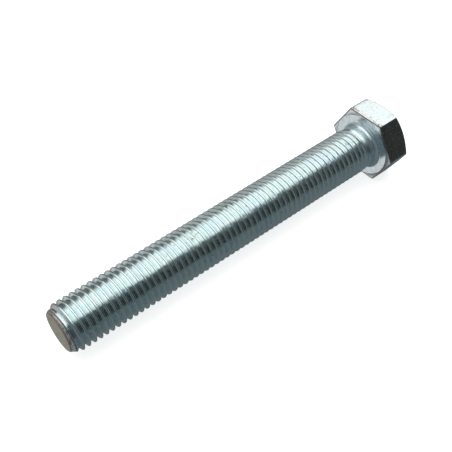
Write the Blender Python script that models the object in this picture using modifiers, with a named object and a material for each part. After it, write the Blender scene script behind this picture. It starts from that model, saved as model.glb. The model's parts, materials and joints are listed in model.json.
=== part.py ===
"""A fully threaded M16 x 120 hex bolt, lying along the X axis.

The point's flat end face is centred on the origin and the shank runs along +X to the head,
so x is the distance from the point: the bearing face is at x = LENGTH and the top of the
head at x = LENGTH + HEAD_HEIGHT. Two wrench flats face straight up and down. The bolt is
one forged and thread-rolled piece of steel, so it is one object.
"""

import math

import bmesh
import bpy

# Thread: M16 coarse, right-handed, rolled to a slightly undersized crest.
PITCH = 0.002
CREST_DIAMETER = 0.0158
CREST_WIDTH = PITCH / 5
ROOT_WIDTH = PITCH / 8
FLANK_ANGLE = math.radians(30)
THREAD_PHASE = 0.24 * PITCH

# Length from the bearing face to the point, and the chamfered point itself.
LENGTH = 0.120
END_FACE_DIAMETER = 0.0125
POINT_ANGLE = math.radians(30)

# Plain neck between the thread's run-out and the head.
NECK_DIAMETER = 0.0149
NECK_LENGTH = 0.0032
RUN_OUT_LENGTH = 0.0022
FILLET_RADIUS = 0.0014

# Head: across flats, height, washer face and the chamfer round its top.
ACROSS_FLATS = 0.0234
HEAD_HEIGHT = 0.010
CORNER_RADIUS = 0.0008
WASHER_FACE_DIAMETER = 0.0224
WASHER_FACE_HEIGHT = 0.0003
HEAD_CHAMFER_DIAMETER = 0.0204
HEAD_CHAMFER_ANGLE = math.radians(30)

# Facets round each turned shape.
THREAD_STEPS = 20
NECK_STEPS = 40
CHAMFER_STEPS = 48
FILLET_STEPS = 3
CORNER_STEPS = 2
SHARP_ANGLE = math.radians(25)

ZINC_COLOUR = (0.62, 0.68, 0.70, 1.0)
ZINC_ROUGHNESS = 0.2

# How far helper shapes reach past the surfaces they cut or join.
WELD_DISTANCE = 0.00001
OVERLAP = 0.0003
PITCHES_PAST_THE_POINT = 2

CREST_RADIUS = CREST_DIAMETER / 2
FLANK_WIDTH = (PITCH - CREST_WIDTH - ROOT_WIDTH) / 2
ROOT_RADIUS = CREST_RADIUS - FLANK_WIDTH / math.tan(FLANK_ANGLE)
HEX_CORNER_RADIUS = ACROSS_FLATS / 2 / math.cos(math.radians(30))
HEAD_TOP = LENGTH + HEAD_HEIGHT
NECK_START = LENGTH - NECK_LENGTH
CLEAR_OF_SHANK = CREST_RADIUS * 1.2
CLEAR_OF_HEAD = HEX_CORNER_RADIUS * 1.2


def clear_scene():
    """Remove whatever objects the scene starts with."""
    for obj in list(bpy.data.objects):
        bpy.data.objects.remove(obj, do_unlink=True)


def make_collection(name):
    """Return a new collection linked to the scene."""
    collection = bpy.data.collections.new(name)
    bpy.context.scene.collection.children.link(collection)
    return collection


def make_zinc():
    """Return the bright zinc-plated steel that covers the whole bolt."""
    material = bpy.data.materials.new("bright_zinc")
    material.use_nodes = True
    shader = material.node_tree.nodes["Principled BSDF"]
    shader.inputs["Base Color"].default_value = ZINC_COLOUR
    shader.inputs["Roughness"].default_value = ZINC_ROUGHNESS
    shader.inputs["Metallic"].default_value = 1.0
    return material


def turned_object(name, outline, steps, collection, offset=0.0):
    """Turn an outline of (x, radius) points about the X axis.

    The points run from high x to low x, which makes the faces point outwards. With an
    offset the outline also moves that far along X in its one turn, as a thread does. A
    plain turned shape stands half a step round, so that none of its edges meets an edge
    of the thread.
    """
    mesh = bpy.data.meshes.new(name)
    vertices = [(x, radius, 0.0) for x, radius in outline]
    edges = [(i, i + 1) for i in range(len(vertices) - 1)]
    mesh.from_pydata(vertices, edges, [])
    obj = bpy.data.objects.new(name, mesh)
    collection.objects.link(obj)
    screw = obj.modifiers.new("turn", "SCREW")
    screw.axis = "X"
    screw.angle = math.tau
    screw.steps = steps
    screw.render_steps = steps
    screw.screw_offset = offset
    screw.use_merge_vertices = offset == 0.0
    screw.merge_threshold = WELD_DISTANCE
    if offset == 0.0:
        obj.rotation_euler.x = math.tau / steps / 2
    return obj


def apply_modifiers(obj):
    """Replace the object's mesh with its evaluated shape."""
    bpy.context.view_layer.update()
    depsgraph = bpy.context.evaluated_depsgraph_get()
    evaluated = bpy.data.meshes.new_from_object(obj.evaluated_get(depsgraph))
    obj.modifiers.clear()
    obj.data = evaluated


def mark_as_cutter(obj):
    """Keep a helper solid out of the renders and draw it as wire."""
    obj.hide_render = True
    obj.display_type = "WIRE"


def add_boolean(obj, operation, other):
    """Cut or join an object with another one."""
    boolean = obj.modifiers.new(other.name, "BOOLEAN")
    boolean.operation = operation
    boolean.solver = "EXACT"
    boolean.object = other


def thread_outline():
    """Return the thread's section, pitch after pitch, from the neck to past the point."""
    outline = []
    start = THREAD_PHASE - PITCHES_PAST_THE_POINT * PITCH
    count = int((NECK_START + RUN_OUT_LENGTH - start) / PITCH)
    for index in range(count, -1, -1):
        crest = start + index * PITCH
        outline.append((crest + CREST_WIDTH / 2, CREST_RADIUS))
        outline.append((crest - CREST_WIDTH / 2, CREST_RADIUS))
        if index > 0:
            outline.append((crest - CREST_WIDTH / 2 - FLANK_WIDTH, ROOT_RADIUS))
            outline.append((crest + CREST_WIDTH / 2 + FLANK_WIDTH - PITCH, ROOT_RADIUS))
    return outline


def close_ends(mesh):
    """Close each open end of a tube about the X axis with a fan round an axis point."""
    bm = bmesh.new()
    bm.from_mesh(mesh)
    open_edges = [edge for edge in bm.edges if edge.is_boundary]
    middle = sum(v.co.x for v in bm.verts) / len(bm.verts)
    for is_high_end in (False, True):
        rim = [e for e in open_edges if (e.verts[0].co.x > middle) == is_high_end]
        rim_x = sum(e.verts[0].co.x for e in rim) / len(rim)
        centre = bm.verts.new((rim_x, 0.0, 0.0))
        for edge in rim:
            bm.faces.new((edge.verts[0], edge.verts[1], centre))
    bmesh.ops.recalc_face_normals(bm, faces=bm.faces)
    bm.to_mesh(mesh)
    bm.free()


def make_threaded_rod(collection):
    """Make the threaded shank, still overlong at its point and blunt at the neck."""
    rod = turned_object("hex_bolt", thread_outline(), THREAD_STEPS, collection, PITCH)
    weld = rod.modifiers.new("weld", "WELD")
    weld.merge_threshold = WELD_DISTANCE
    apply_modifiers(rod)
    close_ends(rod.data)
    return rod


def make_point_envelope(collection):
    """Make the turned limit that trims the rod to its chamfered point and its run-out."""
    chamfer_end = (CLEAR_OF_SHANK - END_FACE_DIAMETER / 2) / math.tan(POINT_ANGLE)
    outline = [
        (NECK_START + RUN_OUT_LENGTH / 2, 0.0),
        (NECK_START + RUN_OUT_LENGTH / 2, NECK_DIAMETER / 2 - OVERLAP),
        (NECK_START - RUN_OUT_LENGTH, CLEAR_OF_SHANK),
        (chamfer_end, CLEAR_OF_SHANK),
        (0.0, END_FACE_DIAMETER / 2),
        (0.0, 0.0),
    ]
    return turned_object("point_envelope", outline, THREAD_STEPS, collection)


def fillet_outline():
    """Return the concave fillet from the washer face down to the neck."""
    centre_x = LENGTH - FILLET_RADIUS
    centre_radius = NECK_DIAMETER / 2 + FILLET_RADIUS
    points = []
    for index in range(FILLET_STEPS + 1):
        angle = math.pi / 2 * index / FILLET_STEPS
        x = centre_x + FILLET_RADIUS * math.cos(angle)
        points.append((x, centre_radius - FILLET_RADIUS * math.sin(angle)))
    return points


def make_neck(collection):
    """Make the washer face, the fillet and the neck that buries the thread's last turns."""
    washer_radius = WASHER_FACE_DIAMETER / 2
    buried = LENGTH + HEAD_HEIGHT / 2
    outline = [(buried, 0.0), (buried, washer_radius), (LENGTH, washer_radius)]
    outline += fillet_outline()
    outline += [
        (NECK_START, NECK_DIAMETER / 2),
        (NECK_START - RUN_OUT_LENGTH, ROOT_RADIUS - OVERLAP),
        (NECK_START - RUN_OUT_LENGTH, 0.0),
    ]
    return turned_object("neck", outline, NECK_STEPS, collection)


def round_corners(mesh):
    """Round the six long edges of the hexagon."""
    bm = bmesh.new()
    bm.from_mesh(mesh)
    long_edges = []
    for edge in bm.edges:
        start, end = (vertex.co for vertex in edge.verts)
        if abs(start.x - end.x) > HEAD_HEIGHT / 2:
            long_edges.append(edge)
    bmesh.ops.bevel(
        bm,
        geom=long_edges,
        offset=CORNER_RADIUS * math.tan(math.radians(30)),
        offset_type="OFFSET",
        segments=CORNER_STEPS,
        profile=0.5,
        affect="EDGES",
    )
    bm.to_mesh(mesh)
    bm.free()


def make_hexagon(collection):
    """Make the hexagonal head with rounded corners, two of its flats level."""
    height = HEAD_HEIGHT - WASHER_FACE_HEIGHT
    bpy.ops.mesh.primitive_cylinder_add(
        vertices=6,
        radius=HEX_CORNER_RADIUS,
        depth=height,
        location=(HEAD_TOP - height / 2, 0.0, 0.0),
        rotation=(0.0, math.pi / 2, 0.0),
    )
    hexagon = bpy.context.object
    hexagon.name = "hexagon"
    bpy.ops.object.transform_apply(location=True, rotation=True, scale=True)
    round_corners(hexagon.data)
    for other in list(hexagon.users_collection):
        other.objects.unlink(hexagon)
    collection.objects.link(hexagon)
    return hexagon


def make_head_chamfer(collection):
    """Make the turned limit that chamfers the top of the head."""
    drop = (CLEAR_OF_HEAD - HEAD_CHAMFER_DIAMETER / 2) * math.tan(HEAD_CHAMFER_ANGLE)
    outline = [
        (HEAD_TOP, 0.0),
        (HEAD_TOP, HEAD_CHAMFER_DIAMETER / 2),
        (HEAD_TOP - drop, CLEAR_OF_HEAD),
        (LENGTH - HEAD_HEIGHT, CLEAR_OF_HEAD),
        (LENGTH - HEAD_HEIGHT, 0.0),
    ]
    return turned_object("head_chamfer", outline, CHAMFER_STEPS, collection)


def build_bolt():
    """Build the bolt from its threaded rod, neck and head."""
    clear_scene()
    parts = make_collection("hex_bolt")
    cutters = make_collection("cutters")
    bolt = make_threaded_rod(parts)
    hexagon = make_hexagon(cutters)
    head_chamfer = make_head_chamfer(cutters)
    point_envelope = make_point_envelope(cutters)
    neck = make_neck(cutters)
    add_boolean(hexagon, "INTERSECT", head_chamfer)
    add_boolean(bolt, "INTERSECT", point_envelope)
    add_boolean(bolt, "UNION", neck)
    add_boolean(bolt, "UNION", hexagon)
    for helper in (hexagon, head_chamfer, point_envelope, neck):
        mark_as_cutter(helper)
    apply_modifiers(bolt)
    bolt.data.materials.clear()
    bolt.data.materials.append(make_zinc())
    bolt.data.shade_smooth()
    bolt.data.set_sharp_from_angle(angle=SHARP_ANGLE)


build_bolt()
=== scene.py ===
"""Looks of the fully threaded hex bolt: its fine surface, its zinc plating and the studio.

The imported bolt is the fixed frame. Its mounts say where the bearing face, the top of the
head and the wrench flats are, and the thread's own sizes say the rest. All lengths are in
metres, the bolt's axis is X, and angles round the axis run from +Y towards +Z.
"""

import json
import math

import bmesh
import bpy
import numpy as np
from mathutils import Matrix, Vector


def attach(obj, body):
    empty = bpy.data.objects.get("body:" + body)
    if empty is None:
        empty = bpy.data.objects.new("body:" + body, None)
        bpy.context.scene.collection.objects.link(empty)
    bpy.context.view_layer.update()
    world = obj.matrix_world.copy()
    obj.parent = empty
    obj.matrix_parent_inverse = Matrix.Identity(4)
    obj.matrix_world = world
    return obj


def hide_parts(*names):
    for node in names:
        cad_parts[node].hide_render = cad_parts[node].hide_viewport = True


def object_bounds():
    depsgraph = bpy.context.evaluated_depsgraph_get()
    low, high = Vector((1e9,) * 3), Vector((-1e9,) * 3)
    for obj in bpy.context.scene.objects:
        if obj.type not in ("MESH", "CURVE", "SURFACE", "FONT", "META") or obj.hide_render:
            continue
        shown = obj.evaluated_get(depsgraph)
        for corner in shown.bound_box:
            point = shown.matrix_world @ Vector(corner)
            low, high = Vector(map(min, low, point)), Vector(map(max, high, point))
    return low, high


MM = 0.001
DEGREE = math.radians(1)

# Rolled thread.
PITCH = 2.0 * MM
CREST_RADIUS = 7.9 * MM
CREST_WIDTH = PITCH / 5
ROOT_WIDTH = PITCH / 8
FLANK_SLOPE = 1 / math.tan(30 * DEGREE)
FLANK_WIDTH = (PITCH - CREST_WIDTH - ROOT_WIDTH) / 2
ROOT_RADIUS = CREST_RADIUS - FLANK_WIDTH * FLANK_SLOPE
THREAD_PHASE = 0.24 * PITCH
CREST_BLEND = 0.2 * MM
ROOT_BLEND = 0.14 * MM

# Chamfered point.
END_RADIUS = 6.25 * MM
POINT_SLOPE = math.tan(30 * DEGREE)
POINT_BLEND = 0.25 * MM
END_EDGE = 0.4 * MM
END_EDGE_START = END_EDGE * math.cos(30 * DEGREE)
END_DISH = 0.08 * MM

# Run-out, neck and fillet, measured back from the bearing face.
NECK_RADIUS = 7.45 * MM
NECK_LENGTH = 3.2 * MM
RUN_OUT = 2.2 * MM
RUN_OUT_BLEND = 0.3 * MM
FILLET_RADIUS = 1.4 * MM

# Head.
WASHER_RADIUS = 11.2 * MM
WASHER_HEIGHT = 0.3 * MM
WASHER_EDGE = 0.1 * MM
CORNER_RADIUS = 0.8 * MM
BEARING_EDGE = 0.2 * MM
CHAMFER_RADIUS = 10.2 * MM
CHAMFER_SLOPE = math.tan(30 * DEGREE)
CHAMFER_EDGE = 0.3 * MM

# Noise of the plating, in cells per metre, from broad clouds to fine grain.
CLOUDS = 120.0
CLUSTERS = 180.0
WAVES = 420.0
STREAKS = 520.0
SMUDGES = 700.0
SPOTS = 1500.0
GRAIN = 2200.0
STREAK_STRETCH = (8.0, 1.0, 1.0)
BUMP_STRENGTH = 0.5
BUMP_DISTANCE = 0.025 * MM

# Colours of the plating, from bright zinc to bare and stained steel, and painted shade for the
# thread's roots, the head's lower edge and the point's rim and groove.
ZINC = (0.80, 0.925, 0.915, 1.0)
ZINC_BLUE = (0.76, 0.90, 0.95, 1.0)
ZINC_SKY = (0.72, 0.90, 0.98, 1.0)
ZINC_GREY = (0.66, 0.76, 0.75, 1.0)
ZINC_ROSE = (0.90, 0.91, 0.90, 1.0)
CREST_PALE = (0.86, 0.88, 0.84, 1.0)
ROOT_DULL = (0.50, 0.56, 0.55, 1.0)
NECK_PALE = (0.79, 0.94, 0.98, 1.0)
HEAD_PALE = (0.715, 0.80, 0.80, 1.0)
HEAD_GREY = (0.55, 0.56, 0.52, 1.0)
UNDER_PALE = (0.755, 0.82, 0.84, 1.0)
UNDER_GREY = (0.54, 0.60, 0.62, 1.0)
RIM_WARM = (0.79, 0.72, 0.70, 1.0)
BURR_BROWN = (0.42, 0.33, 0.27, 1.0)
SEAM_DARK = (0.20, 0.19, 0.18, 1.0)
POINT_GREY = (0.76, 0.78, 0.75, 1.0)
POINT_BROWN = (0.44, 0.38, 0.33, 1.0)
TURN_BROWN = (0.50, 0.46, 0.42, 1.0)
LAP_DARK = (0.20, 0.18, 0.16, 1.0)
END_YELLOW = (0.42, 0.42, 0.315, 1.0)
END_PINK = (0.43, 0.37, 0.335, 1.0)
SPECK = (0.24, 0.19, 0.16, 1.0)

# Camera: its turn from +X towards +Y and its rise from level, both round the aim point.
AIM = (60.65 * MM, 0.48 * MM, 0.35 * MM)
CAMERA_DISTANCE = 234.74 * MM
CAMERA_TURN = -127.605 * DEGREE
CAMERA_RISE = 47.132 * DEGREE
CAMERA_ROLL = -2.338 * DEGREE
LENS_MM = 60.27
SENSOR_MM = 36.0

# Colours of the studio.
SOFTBOX = (1.33, 1.34, 1.33, 1.0)
FLOOR_NEAR = (0.74, 0.75, 0.76, 1.0)
WALL_PALE = (0.35, 0.36, 0.36, 1.0)
WALL_TIP = (0.44, 0.45, 0.45, 1.0)
WALL_LEVEL = (0.12, 0.13, 0.13, 1.0)
ROOM_DIM = (0.13, 0.155, 0.165, 1.0)
ROOM_DARK = (0.026, 0.027, 0.025, 1.0)
BACKDROP = (1.0, 1.0, 1.0, 1.0)
FLOOR_GLOW = 0.75

# Fineness of the mesh.
FLAT_SEGMENTS = 12
CORNER_SEGMENTS = 4
COLUMNS = 6 * (FLAT_SEGMENTS + CORNER_SEGMENTS)
ARC_RINGS = 6
WELD = 0.0005 * MM


def mount_position(record, name):
    """Return a mount's position as a vector."""
    for mount in record["mounts"]:
        if mount["name"] == name:
            return Vector(mount["pos_m"])
    raise KeyError(name)


def smooth_min(a, b, width):
    """Return the lesser of two values, rounded where they cross."""
    closeness = np.clip(width - np.abs(a - b), 0.0, None) / width
    return np.minimum(a, b) - closeness * closeness * width / 4


def smooth_max(a, b, width):
    """Return the greater of two values, rounded where they cross."""
    return -smooth_min(-a, -b, width)


# --- shank ---------------------------------------------------------------------------


def row_offsets():
    """Return where the mesh's rows lie along one pitch, from a crest's centre."""
    crest_edge = CREST_WIDTH / 2
    root_edge = (PITCH - ROOT_WIDTH) / 2
    crest_reach = min(CREST_BLEND / FLANK_SLOPE, crest_edge * 0.8)
    root_reach = min(ROOT_BLEND / FLANK_SLOPE, ROOT_WIDTH / 2 * 0.8)
    half = [crest_edge - crest_reach, crest_edge, crest_edge + crest_reach]
    half += [root_edge - root_reach, root_edge, root_edge + root_reach]
    other_half = [PITCH - offset for offset in reversed(half)]
    return np.array([0.0] + half + [PITCH / 2] + other_half)


def thread_radius(from_crest):
    """Return the rolled thread's radius at a distance along the axis from a crest."""
    distance = np.abs((from_crest + PITCH / 2) % PITCH - PITCH / 2)
    flank = CREST_RADIUS - (distance - CREST_WIDTH / 2) * FLANK_SLOPE
    crested = smooth_min(flank, np.full_like(flank, CREST_RADIUS), CREST_BLEND)
    return smooth_max(crested, np.full_like(flank, ROOT_RADIUS), ROOT_BLEND)


def shank_radius(x, from_crest, bearing_x):
    """Return the shank's radius: the thread, held inside its point and its run-out."""
    neck_x = bearing_x - NECK_LENGTH
    point = END_RADIUS + x * POINT_SLOPE
    run_out_slope = (CREST_RADIUS - NECK_RADIUS) / RUN_OUT
    crest_limit = NECK_RADIUS + (neck_x - x) * run_out_slope
    root_slope = (NECK_RADIUS - ROOT_RADIUS) / RUN_OUT
    root_limit = NECK_RADIUS - (neck_x - x) * root_slope
    radius = smooth_min(thread_radius(from_crest), point, POINT_BLEND)
    radius = smooth_min(radius, crest_limit, RUN_OUT_BLEND)
    radius = smooth_max(radius, root_limit, RUN_OUT_BLEND)
    return np.where(x > neck_x, NECK_RADIUS, radius)


def thread_grid(bearing_x):
    """Return the points of the shank's helical grid, as an array of columns and rows.

    A row follows the thread once round and ends one pitch further on, so the row after
    the last column is the first column's row one whole pitch later.
    """
    offsets = row_offsets()
    turns = int(bearing_x / PITCH) + 3
    starts = THREAD_PHASE + PITCH * np.arange(-2, turns - 2)
    rows = (starts[:, None] + offsets[None, :]).ravel()
    columns = np.arange(COLUMNS)
    along = rows[None, :] + PITCH * columns[:, None] / COLUMNS
    from_crest = np.broadcast_to(rows[None, :] - THREAD_PHASE, along.shape)
    x = np.clip(along, END_EDGE_START, bearing_x - NECK_LENGTH + PITCH / 4)
    radius = shank_radius(x, from_crest + (x - along), bearing_x)
    angle = math.tau * columns[:, None] / COLUMNS
    return np.stack([x, radius * np.cos(angle), radius * np.sin(angle)], axis=-1)


def add_thread(bm, bearing_x):
    """Add the threaded shank to the mesh."""
    grid = thread_grid(bearing_x)
    rows = grid.shape[1]
    per_turn = len(row_offsets())
    vertices = [[bm.verts.new(point) for point in column] for column in grid]
    for i in range(COLUMNS):
        last = i == COLUMNS - 1
        here = vertices[i]
        there = vertices[0][per_turn:] if last else vertices[i + 1]
        for j in range(min(len(there), rows) - 1):
            bm.faces.new((here[j], here[j + 1], there[j + 1], there[j]))


# --- rings of the point, neck and head -----------------------------------------------


def circle(x, radius):
    """Return a ring of points round the axis."""
    angle = math.tau * np.arange(COLUMNS) / COLUMNS
    ones = np.ones(COLUMNS)
    return np.stack([x * ones, radius * np.cos(angle), radius * np.sin(angle)], axis=-1)


def rounded(before, corner, after, steps):
    """Return rings that round the corner between two rings."""
    rings = []
    for t in np.linspace(0.0, 1.0, steps + 1):
        rings.append((1 - t) ** 2 * before + 2 * t * (1 - t) * corner + t * t * after)
    return rings


def hexagon(half_flats):
    """Return the points and the outward normals round a hexagon with rounded corners."""
    reach = (half_flats - CORNER_RADIUS) / math.cos(30 * DEGREE)
    points = []
    normals = []
    for corner in range(6):
        middle = corner * 60 * DEGREE
        centre = reach * np.array([0.0, math.cos(middle), math.sin(middle)])
        for step in range(CORNER_SEGMENTS + 1):
            angle = middle + (step / CORNER_SEGMENTS - 0.5) * 60 * DEGREE
            normal = np.array([0.0, math.cos(angle), math.sin(angle)])
            points.append(centre + CORNER_RADIUS * normal)
            normals.append(normal)
        flat_start = points[-1]
        along = np.cross([1.0, 0.0, 0.0], normals[-1])
        for step in range(1, FLAT_SEGMENTS):
            points.append(flat_start + along * reach * step / FLAT_SEGMENTS)
            normals.append(normals[-1])
    shift = -(CORNER_SEGMENTS // 2)
    return np.roll(np.array(points), shift, axis=0), np.roll(np.array(normals), shift, axis=0)


def end_face_rings():
    """Return the rings of the point's flat end, from its rounded edge to its middle."""
    before = circle(END_EDGE_START, END_RADIUS + END_EDGE_START * POINT_SLOPE)
    after = circle(0.0, END_RADIUS - END_EDGE)
    rings = rounded(before, circle(0.0, END_RADIUS), after, ARC_RINGS)
    for share in (0.94, 0.8, 0.55, 0.25):
        radius = (END_RADIUS - END_EDGE) * share
        rings.append(circle(END_DISH * (1 - share), radius))
    return rings


def neck_rings(bearing_x):
    """Return the rings of the neck, the fillet and the washer face."""
    rings = [circle(bearing_x - NECK_LENGTH + PITCH / 4, NECK_RADIUS)]
    fillet_x = bearing_x - FILLET_RADIUS
    rings.append(circle(fillet_x - FILLET_RADIUS / 4, NECK_RADIUS))
    for step in range(ARC_RINGS + 1):
        angle = 90 * DEGREE * step / ARC_RINGS
        x = fillet_x + FILLET_RADIUS * math.sin(angle)
        rings.append(circle(x, NECK_RADIUS + FILLET_RADIUS * (1 - math.cos(angle))))
    rings.append(circle(bearing_x, NECK_RADIUS + FILLET_RADIUS * 1.2))
    rings.append(circle(bearing_x, WASHER_RADIUS - WASHER_EDGE * 2))
    before = circle(bearing_x, WASHER_RADIUS - WASHER_EDGE)
    corner = circle(bearing_x, WASHER_RADIUS)
    after = circle(bearing_x + WASHER_EDGE, WASHER_RADIUS)
    rings += rounded(before, corner, after, ARC_RINGS // 2)
    rings.append(circle(bearing_x + WASHER_HEIGHT - WASHER_EDGE / 2, WASHER_RADIUS))
    rings.append(circle(bearing_x + WASHER_HEIGHT, WASHER_RADIUS + WASHER_EDGE / 2))
    return rings


def head_rings(bearing_x, top_x, half_flats):
    """Return the rings of the hexagonal head, from its underside to the top's middle."""
    rim, normal = hexagon(half_flats)
    reach = np.linalg.norm(rim, axis=1, keepdims=True)
    outward = rim / reach
    along = np.array([1.0, 0.0, 0.0])
    under = rim + along * (bearing_x + WASHER_HEIGHT)
    rings = [under - normal * BEARING_EDGE * 1.3]
    before = under - normal * BEARING_EDGE
    rings += rounded(before, under, under + along * BEARING_EDGE, ARC_RINGS)
    rings.append(under + along * BEARING_EDGE * 1.3)
    shoulder = rim + along * (top_x - (reach - CHAMFER_RADIUS) * CHAMFER_SLOPE)
    down_cone = (outward - along * CHAMFER_SLOPE) / math.hypot(1.0, CHAMFER_SLOPE)
    rings.append(shoulder - along * CHAMFER_EDGE * 1.5)
    before = shoulder - along * CHAMFER_EDGE
    rings += rounded(before, shoulder, shoulder - down_cone * CHAMFER_EDGE, ARC_RINGS)
    top_rim = circle(top_x, CHAMFER_RADIUS)
    top_outward = circle(0.0, 1.0)
    cone_slope = (top_outward - along * CHAMFER_SLOPE) / math.hypot(1.0, CHAMFER_SLOPE)
    rings.append(top_rim + cone_slope * CHAMFER_EDGE * 1.5)
    before = top_rim + cone_slope * CHAMFER_EDGE
    rings += rounded(before, top_rim, circle(top_x, CHAMFER_RADIUS - CHAMFER_EDGE), ARC_RINGS)
    for share in (0.93, 0.7, 0.4):
        rings.append(circle(top_x, (CHAMFER_RADIUS - CHAMFER_EDGE) * share))
    return rings


def add_rings(bm, rings, close_with_cap):
    """Add the strips between rings, and a cap inside the last one if it is asked for."""
    vertices = [[bm.verts.new(point) for point in ring] for ring in rings]
    for ring, next_ring in zip(vertices, vertices[1:]):
        for i in range(COLUMNS):
            j = (i + 1) % COLUMNS
            bm.faces.new((ring[i], next_ring[i], next_ring[j], ring[j]))
    if close_with_cap:
        bm.faces.new(vertices[-1])


def make_bolt(bearing_x, top_x, half_flats):
    """Return the bolt's fine surface as one closed mesh object."""
    bm = bmesh.new()
    add_thread(bm, bearing_x)
    add_rings(bm, end_face_rings(), True)
    rings = neck_rings(bearing_x) + head_rings(bearing_x, top_x, half_flats)
    add_rings(bm, rings, True)
    bmesh.ops.remove_doubles(bm, verts=bm.verts, dist=WELD)
    bmesh.ops.dissolve_degenerate(bm, edges=bm.edges, dist=WELD)
    bmesh.ops.recalc_face_normals(bm, faces=bm.faces)
    mesh = bpy.data.meshes.new("bolt_surface")
    bm.to_mesh(mesh)
    bm.free()
    mesh.shade_smooth()
    bolt = bpy.data.objects.new("bolt_surface", mesh)
    bpy.context.scene.collection.objects.link(bolt)
    return bolt


# --- material ------------------------------------------------------------------------


class Nodes:
    """Short calls for building a material's node tree."""

    def __init__(self, tree):
        self.tree = tree

    def add(self, kind, **settings):
        """Add a node and set its properties."""
        node = self.tree.nodes.new(kind)
        for name, value in settings.items():
            setattr(node, name, value)
        return node

    def feed(self, target, source):
        """Put a number, a colour or another node's output into an input."""
        if isinstance(source, bpy.types.NodeSocket):
            self.tree.links.new(source, target)
        else:
            target.default_value = source

    def math(self, operation, a, b=0.0):
        """Return the result of a mathematical operation."""
        node = self.add("ShaderNodeMath", operation=operation)
        self.feed(node.inputs[0], a)
        self.feed(node.inputs[1], b)
        return node.outputs[0]

    def total(self, a, b):
        """Return the sum of two values."""
        return self.math("ADD", a, b)

    def product(self, a, b):
        """Return the product of two values."""
        return self.math("MULTIPLY", a, b)

    def band(self, value, start, end):
        """Return 0 before start and 1 beyond end, with a smooth change between."""
        node = self.add("ShaderNodeMapRange", interpolation_type="SMOOTHSTEP")
        for index, source in enumerate((value, start, end, 0.0, 1.0)):
            self.feed(node.inputs[index], source)
        return node.outputs[0]

    def mix(self, share, a, b):
        """Return colour a at share 0 and colour b at share 1."""
        node = self.add("ShaderNodeMix", data_type="RGBA")
        self.feed(node.inputs[0], share)
        self.feed(node.inputs[6], a)
        self.feed(node.inputs[7], b)
        return node.outputs[2]

    def noise(self, place, scale, detail=3.0, roughness=0.55):
        """Return a noise value round one half, for a place in metres."""
        node = self.add("ShaderNodeTexNoise")
        self.feed(node.inputs["Vector"], place)
        self.feed(node.inputs["Scale"], scale)
        self.feed(node.inputs["Detail"], detail)
        self.feed(node.inputs["Roughness"], roughness)
        return node.outputs["Fac"]


def make_masks(nodes, place, bearing_x, half_flats):
    """Return a point's x and radius, and the shares, from 0 to 1, of the parts it is on."""
    split = nodes.add("ShaderNodeSeparateXYZ")
    nodes.feed(split.inputs[0], place)
    x, y, z = split.outputs
    radius = nodes.math("SQRT", nodes.total(nodes.product(y, y), nodes.product(z, z)))
    masks = {"x": x, "radius": radius}
    masks.update(shank_masks(nodes, x, radius, bearing_x))
    masks.update(head_masks(nodes, split.outputs, radius, bearing_x, half_flats))
    masks.update(point_masks(nodes, split.outputs, radius))
    return masks


def shank_masks(nodes, x, radius, bearing_x):
    """Return the masks of the threaded shank, its crests and roots, and the neck."""
    fillet_x = bearing_x - FILLET_RADIUS
    neck_start = bearing_x - NECK_LENGTH
    depth = nodes.math("SUBTRACT", CREST_RADIUS, radius)
    height = nodes.math("SUBTRACT", radius, ROOT_RADIUS)
    shank = nodes.band(x, fillet_x, fillet_x - 0.5 * MM)
    before_washer = nodes.band(x, bearing_x - 0.05 * MM, bearing_x - 0.4 * MM)
    beyond_thread = nodes.band(x, neck_start - 1.5 * MM, neck_start)
    return {
        "shank": shank,
        "neck": nodes.product(before_washer, beyond_thread),
        "crest": nodes.product(shank, nodes.band(depth, 0.13 * MM, 0.04 * MM)),
        "root": nodes.product(shank, nodes.band(height, 0.35 * MM, 0.05 * MM)),
    }


def head_masks(nodes, axes, radius, bearing_x, half_flats):
    """Return the masks of the head, its underside, its lower edge and its worn places.

    The edge shade is painted shade along the line where the underside meets the flats. The
    rim is the rounded edge just above it, and the burr is the rough line where that edge ends.
    """
    x, y, z = axes
    under_x = bearing_x + WASHER_HEIGHT
    normal = nodes.add("ShaderNodeSeparateXYZ")
    nodes.feed(normal.inputs[0], nodes.add("ShaderNodeNewGeometry").outputs["Normal"])
    facing_point = nodes.band(normal.outputs[0], -0.6, -0.9)
    head = nodes.band(x, bearing_x - 0.05 * MM, bearing_x + 0.02 * MM)
    beyond = nodes.band(x, under_x + 0.01 * MM, under_x + 0.05 * MM)
    to_flats = nodes.math("ABSOLUTE", z)
    for side in (-1, 1):
        slanted = nodes.total(nodes.product(z, 0.5), nodes.product(y, side * math.cos(30 * DEGREE)))
        to_flats = nodes.math("MAXIMUM", to_flats, nodes.math("ABSOLUTE", slanted))
    outline = nodes.band(to_flats, half_flats - 0.65 * MM, half_flats - 0.45 * MM)
    under_plane = nodes.band(x, under_x + 0.16 * MM, under_x + 0.1 * MM)
    past_fillet = nodes.band(x, bearing_x - 0.3 * MM, bearing_x - 0.1 * MM)
    return {
        "head": head,
        "under": nodes.product(facing_point, past_fillet),
        "rim": nodes.product(
            nodes.band(x, under_x + 0.12 * MM, under_x + 0.22 * MM),
            nodes.band(x, under_x + 0.7 * MM, under_x + 0.55 * MM),
        ),
        "burr": nodes.product(
            nodes.band(x, under_x + 0.55 * MM, under_x + 0.65 * MM),
            nodes.band(x, under_x + 0.9 * MM, under_x + 0.75 * MM),
        ),
        "seam": nodes.product(nodes.product(head, outline), under_plane),
        "worn_edge": nodes.product(beyond, nodes.band(x, under_x + 2.2 * MM, under_x + 0.3 * MM)),
        "corner": nodes.product(head, nodes.band(radius, 12.2 * MM, 13.3 * MM)),
        "worn_side": nodes.product(beyond, nodes.band(y, -3.0 * MM, 7.0 * MM)),
    }


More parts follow.
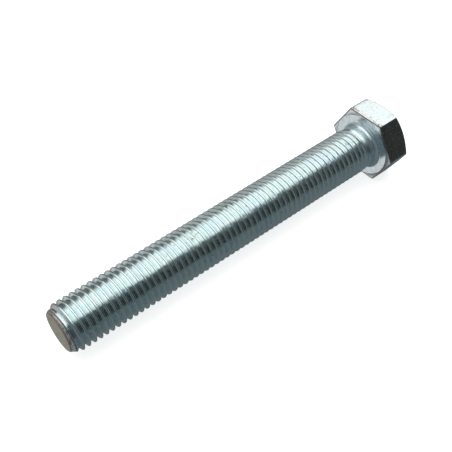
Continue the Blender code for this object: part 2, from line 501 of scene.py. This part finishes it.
def point_masks(nodes, axes, radius):
    """Return the masks of the end face, the first turns and the shaded groove.

    The shaded groove is the line on the chamfer where the thread's crest is cut off: a groove in
    the relief, darkened with painted shade.
    """
    x, y, z = axes
    turns = nodes.product(nodes.math("ARCTAN2", z, y), 1 / math.tau)
    shifted = nodes.total(x, 4 * PITCH - THREAD_PHASE)
    along_thread = nodes.total(shifted, nodes.product(turns, -PITCH))
    from_crest = nodes.math("PINGPONG", along_thread, PITCH / 2)
    crest_line = nodes.band(from_crest, 0.2 * MM, 0.1 * MM)
    depth = nodes.math("SUBTRACT", CREST_RADIUS, radius)
    cut_off = nodes.band(depth, 0.3 * MM, 0.7 * MM)
    near_end = nodes.product(nodes.band(x, 0.2 * MM, 0.4 * MM), nodes.band(x, 5.0 * MM, 4.0 * MM))
    return {
        "end_face": nodes.band(x, 0.22 * MM, 0.1 * MM),
        "first_turns": nodes.product(
            nodes.band(x, 8.0 * MM, 3.0 * MM),
            nodes.band(y, 2.0 * MM, 5.0 * MM),
        ),
        "lap": nodes.product(near_end, nodes.product(crest_line, cut_off)),
    }


def stretched(nodes, place):
    """Return a place that changes fast along the bolt, which turns noise into streaks round it."""
    node = nodes.add("ShaderNodeVectorMath", operation="MULTIPLY")
    nodes.feed(node.inputs[0], place)
    node.inputs[1].default_value = STREAK_STRETCH
    return node.outputs[0]


def make_noises(nodes, place):
    """Return the noises that colour and roughen the plating."""
    return {
        "cloud": nodes.noise(place, CLOUDS, 2.0),
        "smudge": nodes.noise(place, SMUDGES, 3.0),
        "streak": nodes.noise(stretched(nodes, place), STREAKS, 4.0, 0.65),
        "fine": nodes.noise(place, GRAIN, 3.0, 0.65),
        "wave": nodes.noise(place, WAVES, 1.0),
        "spot": nodes.noise(place, SPOTS, 2.0, 0.6),
        "cluster": nodes.noise(place, CLUSTERS),
    }


def ragged_x(nodes, masks, noises, depth):
    """Return the distance from the point, made ragged by the fine noise."""
    return nodes.total(masks["x"], nodes.product(nodes.total(noises["fine"], -0.5), depth))


def speck_share(nodes, masks, noises):
    """Return where the specks of bare steel are, thickest along the worn edges."""
    clustered = nodes.total(noises["spot"], nodes.product(noises["cluster"], 0.5))
    shares = (
        ("worn_edge", 0.12),
        ("corner", 0.06),
        ("worn_side", 0.05),
        ("point", 0.13),
        ("end_face", -0.1),
    )
    for where, share in shares:
        clustered = nodes.total(clustered, nodes.product(masks[where], share))
    return nodes.band(clustered, 0.93, 0.98)


def shank_colour(nodes, masks, noises):
    """Return the colour of the rolled thread and the neck, with painted shade and dirt in the
    roots.
    """
    smudge = noises["smudge"]
    colour = nodes.mix(nodes.band(noises["cloud"], 0.42, 0.68), ZINC, ZINC_BLUE)
    colour = nodes.mix(nodes.product(nodes.band(smudge, 0.5, 0.64), 0.7), colour, ZINC_ROSE)
    colour = nodes.mix(nodes.product(nodes.band(smudge, 0.48, 0.36), 0.7), colour, ZINC_SKY)
    colour = nodes.mix(nodes.band(noises["streak"], 0.5, 0.72), colour, ZINC_GREY)
    grained = nodes.product(nodes.band(noises["fine"], 0.48, 0.66), 0.45)
    colour = nodes.mix(grained, colour, ZINC_GREY)
    colour = nodes.mix(nodes.product(masks["crest"], 0.5), colour, CREST_PALE)
    # Painted shade and dirt darken the thread roots.
    colour = nodes.mix(nodes.product(masks["root"], 0.3), colour, ROOT_DULL)
    return nodes.mix(masks["neck"], colour, NECK_PALE)


def add_head_colour(nodes, masks, noises, colour):
    """Return a colour with the head's own laid over it."""
    smudge = noises["smudge"]
    fine = noises["fine"]
    soiled = nodes.total(nodes.product(masks["worn_edge"], 0.7), 0.3)
    smudged = nodes.product(soiled, nodes.band(smudge, 0.5, 0.7))
    grained = nodes.product(nodes.product(soiled, nodes.band(fine, 0.48, 0.62)), 0.6)
    flats = nodes.mix(smudged, HEAD_PALE, HEAD_GREY)
    flats = nodes.mix(grained, flats, HEAD_GREY)
    clouded = nodes.product(nodes.band(smudge, 0.42, 0.68), 0.6)
    burr = nodes.product(masks["burr"], nodes.band(fine, 0.38, 0.6))
    colour = nodes.mix(masks["head"], colour, flats)
    colour = nodes.mix(masks["under"], colour, nodes.mix(clouded, UNDER_PALE, UNDER_GREY))
    colour = nodes.mix(nodes.product(masks["rim"], 0.9), colour, RIM_WARM)
    colour = nodes.mix(nodes.product(burr, 0.8), colour, BURR_BROWN)
    # Painted shade: a dark line along the underside's outer edge, where it meets the flats.
    return nodes.mix(nodes.product(masks["seam"], 0.85), colour, SEAM_DARK)


def add_point_colour(nodes, masks, noises, colour):
    """Return a colour with the first turns, the sawn point, painted shade lines at its rim and
    along its cut-off crest, and its end face laid over it.
    """
    fine = noises["fine"]
    # The first turns are made browner towards +Y, in patches set by the fine noise.
    stain = nodes.product(masks["first_turns"], nodes.band(fine, 0.25, 0.5))
    sawn_rim = nodes.band(ragged_x(nodes, masks, noises, 1.6 * MM), 0.5 * MM, 0.3 * MM)
    sawn = nodes.mix(nodes.band(fine, 0.48, 0.62), POINT_GREY, POINT_BROWN)
    uneven = nodes.product(nodes.total(noises["smudge"], -0.5), 12.0 * MM)
    off_centre = nodes.total(masks["radius"], uneven)
    end_face = nodes.mix(nodes.band(off_centre, 3.0 * MM, 5.8 * MM), END_YELLOW, END_PINK)
    colour = nodes.mix(nodes.product(stain, 0.9), colour, TURN_BROWN)
    colour = nodes.mix(masks["point"], colour, sawn)
    # Painted shade with the sawn edge's own brown: a dark line round the end face's rim.
    colour = nodes.mix(nodes.product(sawn_rim, 0.85), colour, LAP_DARK)
    # Painted shade in the groove where the crest is cut off on the chamfer.
    colour = nodes.mix(nodes.product(masks["lap"], 0.85), colour, LAP_DARK)
    return nodes.mix(masks["end_face"], colour, end_face)


def zinc_dust(nodes, masks, noises):
    """Return how much dull dust lies on the head, the first turns and the point."""
    dusty = nodes.total(masks["head"], masks["first_turns"])
    dust = nodes.product(dusty, nodes.band(noises["fine"], 0.46, 0.62))
    return nodes.total(dust, nodes.product(masks["point"], 5.0))


def zinc_roughness(nodes, masks, noises):
    """Return how dull the plating is, from the rolled thread to the sawn point."""
    rough = nodes.total(0.11, nodes.product(noises["streak"], 0.12))
    shares = (
        ("neck", 0.17),
        ("under", 0.02),
        ("point", 0.3),
        ("end_face", 0.1),
        ("specks", 0.2),
    )
    for where, share in shares:
        rough = nodes.total(rough, nodes.product(masks[where], share))
    return rough


def zinc_grain(nodes, masks, noises):
    """Return the height of the plating's fine relief."""
    fine = noises["fine"]
    rolled_waves = nodes.product(nodes.product(masks["shank"], noises["wave"]), 9.0)
    grain = nodes.total(noises["streak"], rolled_waves)
    grain = nodes.total(grain, nodes.product(fine, 0.5))
    grain = nodes.total(grain, nodes.product(masks["specks"], -0.4))
    grain = nodes.total(grain, nodes.product(masks["lap"], -4.0))
    grain = nodes.total(grain, nodes.product(nodes.product(masks["head"], fine), 1.5))
    return nodes.total(grain, nodes.product(nodes.product(masks["point"], fine), 3.0))


def make_zinc(name, bearing_x, half_flats):
    """Return bright blue zinc plating, pale on the crests and dull at the sawn point."""
    material = bpy.data.materials.new(name)
    material.use_nodes = True
    nodes = Nodes(material.node_tree)
    shader = material.node_tree.nodes["Principled BSDF"]
    place = nodes.add("ShaderNodeNewGeometry").outputs["Position"]
    masks = make_masks(nodes, place, bearing_x, half_flats)
    noises = make_noises(nodes, place)
    masks["point"] = nodes.band(ragged_x(nodes, masks, noises, 3.0 * MM), 1.6 * MM, 0.8 * MM)
    masks["specks"] = speck_share(nodes, masks, noises)

    colour = shank_colour(nodes, masks, noises)
    colour = add_head_colour(nodes, masks, noises, colour)
    colour = add_point_colour(nodes, masks, noises, colour)
    colour = nodes.mix(nodes.product(masks["specks"], 0.8), colour, SPECK)
    nodes.feed(shader.inputs["Base Color"], colour)
    dull = nodes.product(zinc_dust(nodes, masks, noises), -0.03)
    nodes.feed(shader.inputs["Metallic"], nodes.total(1.0, dull))
    nodes.feed(shader.inputs["Roughness"], zinc_roughness(nodes, masks, noises))

    bump = nodes.add("ShaderNodeBump")
    bump.inputs["Strength"].default_value = BUMP_STRENGTH
    bump.inputs["Distance"].default_value = BUMP_DISTANCE
    nodes.feed(bump.inputs["Height"], zinc_grain(nodes, masks, noises))
    nodes.feed(shader.inputs["Normal"], bump.outputs[0])
    return material


# --- studio --------------------------------------------------------------------------


def make_camera():
    """Aim the camera down at the bolt from beyond its point."""
    data = bpy.data.cameras.new("camera")
    data.sensor_width = SENSOR_MM
    data.lens = LENS_MM
    data.clip_start = 0.01
    data.clip_end = 10.0
    camera = bpy.data.objects.new("camera", data)
    turned = Matrix.Rotation(CAMERA_TURN + 90 * DEGREE, 4, "Z")
    raised = Matrix.Rotation(90 * DEGREE - CAMERA_RISE, 4, "X")
    rolled = Matrix.Rotation(CAMERA_ROLL, 4, "Z")
    backed = Matrix.Translation((0.0, 0.0, CAMERA_DISTANCE))
    camera.matrix_world = Matrix.Translation(AIM) @ turned @ raised @ rolled @ backed
    bpy.context.scene.collection.objects.link(camera)
    bpy.context.scene.camera = camera


def make_floor(z):
    """Lay a plain pale floor under the bolt, too even to be seen in the zinc."""
    bpy.ops.mesh.primitive_plane_add(size=6.0, location=(0.06, 0.0, z))
    floor = bpy.context.object
    floor.name = "floor"
    material = bpy.data.materials.new("pale_floor")
    material.use_nodes = True
    shader = material.node_tree.nodes["Principled BSDF"]
    shader.inputs["Base Color"].default_value = (0.9, 0.9, 0.9, 1.0)
    shader.inputs["Roughness"].default_value = 0.9
    shader.inputs["Specular IOR Level"].default_value = 0.0
    shader.inputs["Emission Color"].default_value = (1.0, 1.0, 1.0, 1.0)
    shader.inputs["Emission Strength"].default_value = FLOOR_GLOW
    floor.data.materials.append(material)
    floor.visible_glossy = False


def make_world():
    """Surround the bolt with a softbox overhead, a pale room behind and a dim one in front.

    A direction is given by its turn round the bolt's axis, from overhead at 0 down to level
    in front at 90 degrees or level behind at -90, and by its share along the axis.
    """
    world = bpy.data.worlds.new("studio")
    bpy.context.scene.world = world
    world.use_nodes = True
    nodes = Nodes(world.node_tree)
    split = nodes.add("ShaderNodeSeparateXYZ")
    nodes.feed(split.inputs[0], nodes.add("ShaderNodeTexCoord").outputs["Generated"])
    along, back, up = split.outputs
    turn = nodes.math("ARCTAN2", nodes.product(back, -1.0), up)

    def patch(turns, ends, softness):
        """Return 1 within a range of turns and of shares along the axis, with soft edges."""
        first, last = turns[0] * DEGREE, turns[1] * DEGREE
        soft = softness * DEGREE
        inside = nodes.band(turn, first - soft, first + soft)
        inside = nodes.product(inside, nodes.band(turn, last + soft, last - soft))
        inside = nodes.product(inside, nodes.band(along, ends[0] - 0.12, ends[0] + 0.12))
        return nodes.product(inside, nodes.band(along, ends[1] + 0.12, ends[1] - 0.12))

    colour = nodes.mix(nodes.band(back, 0.3, 0.7), ROOM_DIM, WALL_PALE)
    patches = (
        (WALL_PALE, (-200, 200), (0.94, 1.5), 8),
        (WALL_TIP, (-105, -10), (-1.5, -0.55), 12),
        (WALL_LEVEL, (-108, -60), (-0.2, 0.75), 8),
        (FLOOR_NEAR, (-158, -112), (-0.9, -0.3), 10),
        (ROOM_DARK, (28, 100), (-0.1, 0.85), 7),
        (ROOM_DIM, (0, 45), (-0.1, 0.85), 20),
        (SOFTBOX, (-49.5, 28), (-0.45, 1.5), 12),
    )
    for shade, turns, ends, softness in patches:
        colour = nodes.mix(patch(turns, ends, softness), colour, shade)
    seen = nodes.add("ShaderNodeLightPath").outputs["Is Camera Ray"]
    colour = nodes.mix(seen, colour, BACKDROP)
    nodes.feed(world.node_tree.nodes["Background"].inputs["Color"], colour)


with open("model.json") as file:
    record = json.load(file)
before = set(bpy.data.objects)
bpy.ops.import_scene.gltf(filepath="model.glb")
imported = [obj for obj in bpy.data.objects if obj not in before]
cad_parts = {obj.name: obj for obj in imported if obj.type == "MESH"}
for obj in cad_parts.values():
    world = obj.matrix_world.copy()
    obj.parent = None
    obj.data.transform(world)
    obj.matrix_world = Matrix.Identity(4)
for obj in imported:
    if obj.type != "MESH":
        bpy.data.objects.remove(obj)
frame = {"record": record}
cad_low, cad_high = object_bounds()
record = frame["record"]
bearing_x = mount_position(record, "bearing_face").x
top_x = mount_position(record, "head_top").x
half_flats = mount_position(record, "wrench_flat_up").z
bolt = make_bolt(bearing_x, top_x, half_flats)
bolt.data.materials.append(make_zinc("bright_zinc", bearing_x, half_flats))
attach(bolt, "root")
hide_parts("hex_bolt")
make_camera()
make_floor(cad_low.z)
make_world()
bpy.context.scene.view_settings.view_transform = "Standard"
